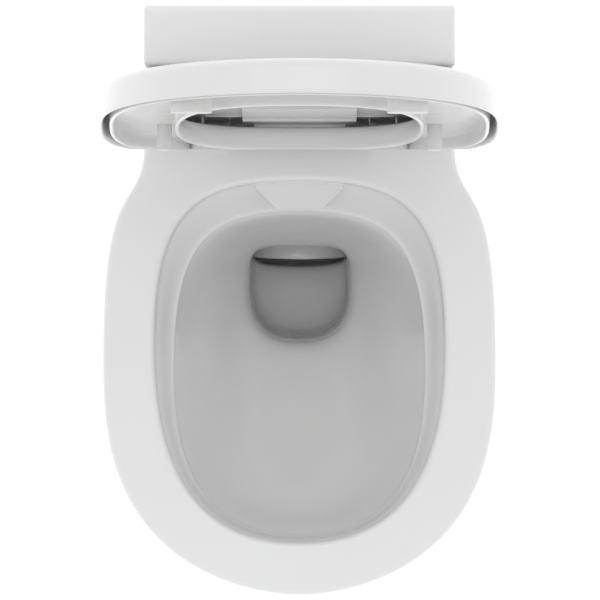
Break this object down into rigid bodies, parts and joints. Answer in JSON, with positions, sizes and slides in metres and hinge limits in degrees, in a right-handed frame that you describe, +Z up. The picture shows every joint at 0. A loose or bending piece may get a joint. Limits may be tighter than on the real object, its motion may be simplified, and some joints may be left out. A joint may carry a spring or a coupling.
{
  "type": "close coupled toilet",
  "caption": "Floor-standing back-to-wall toilet with a slim cistern on its rear deck, soft-close seat and wrap-over lid, and working flush and fill valves.",
  "frame": {"origin": "on the floor, at the middle of the footprint", "axes": "+Z up; -Y to the front of the pan, +Y to the wall; +X to the right of someone sitting, seen from the front on the right"},
  "size_m": [0.375, 0.555, 0.8559],
  "materials": {
    "ceramic": "white glaze",
    "gloss_plastic": "white, gloss",
    "moulded_plastic": "white, satin",
    "grey_plastic": "grey, satin",
    "rubber": "black, matt",
    "white_rubber": "white, soft",
    "steel": "plated",
    "bright_metal": "polished"
  },
  "bodies": {
    "pan": {"pan": "ceramic", "floor_brackets": "steel", "bracket_screws": "steel", "screw_caps": "gloss_plastic", "cistern_body": "ceramic", "cistern_pads": "rubber", "coupling_gasket": "rubber", "cistern_bolts": "steel", "cistern_washers": "rubber", "cistern_nuts": "steel", "flush_valve_body": "moulded_plastic", "flush_valve_washer": "rubber", "flush_valve_nut": "moulded_plastic", "flush_actuator": "grey_plastic", "air_tube": "rubber", "button_housing": "grey_plastic", "button_nut": "grey_plastic", "fill_valve": "moulded_plastic", "fill_valve_washer": "rubber", "fill_valve_nut": "moulded_plastic", "arm_pin": "steel", "hinge_posts": "bright_metal", "hinge_pins": "steel", "hinge_studs": "steel", "hinge_washers": "rubber", "hinge_nuts": "moulded_plastic"},
    "cistern_cover": {"cistern_lid": "ceramic"},
    "lid": {"toilet_lid": "gloss_plastic", "lid_buffers": "white_rubber", "lid_dampers": "grey_plastic"},
    "seat": {"seat_ring": "gloss_plastic", "seat_buffers": "white_rubber", "seat_dampers": "grey_plastic"},
    "button": {"flush_button": "bright_metal"},
    "flush_valve": {"overflow_tube": "moulded_plastic", "valve_seal": "rubber"},
    "float": {"float_arm": "grey_plastic", "float": "moulded_plastic"},
    "plunger": {"valve_plunger": "steel"}
  },
  "joints": [
    {"name": "lid_hinge", "type": "hinge", "parent": "pan", "child": "lid", "pos_m": [0, 0.151, 0.428], "axis": [-1, 0, 0], "range_deg": [-97.8, 0]},
    {"name": "seat_hinge", "type": "hinge", "parent": "lid", "child": "seat", "pos_m": [0, 0.151, 0.428], "axis": [1, 0, 0], "range_deg": [0, 97.8]},
    {"name": "flush_button_press", "type": "slide", "parent": "pan", "child": "button", "axis": [-1, 0, 0], "range_m": [0, 0.006], "stiffness_N_per_m": 900},
    {"name": "flush_valve_lift", "type": "slide", "parent": "pan", "child": "flush_valve", "axis": [0, 0, 1], "range_m": [0, 0.0141]},
    {"name": "float_arm_swing", "type": "hinge", "parent": "pan", "child": "float", "pos_m": [-0.09, 0.242, 0.674], "axis": [0, -1, 0], "range_deg": [0, 16]},
    {"name": "fill_plunger_slide", "type": "slide", "parent": "pan", "child": "plunger", "axis": [0, 0, -1], "range_m": [0, 0.0029]},
    {"name": "cistern_lid_lift", "type": "slide", "parent": "pan", "child": "cistern_cover", "axis": [0, 0, 1], "range_m": [0, 0.045]}
  ],
  "couplings": [
    {"joint": "flush_valve_lift", "follows": "flush_button_press", "ratio": 2.3333},
    {"joint": "fill_plunger_slide", "follows": "float_arm_swing", "m_per_rad": 0.0103}
  ]
}
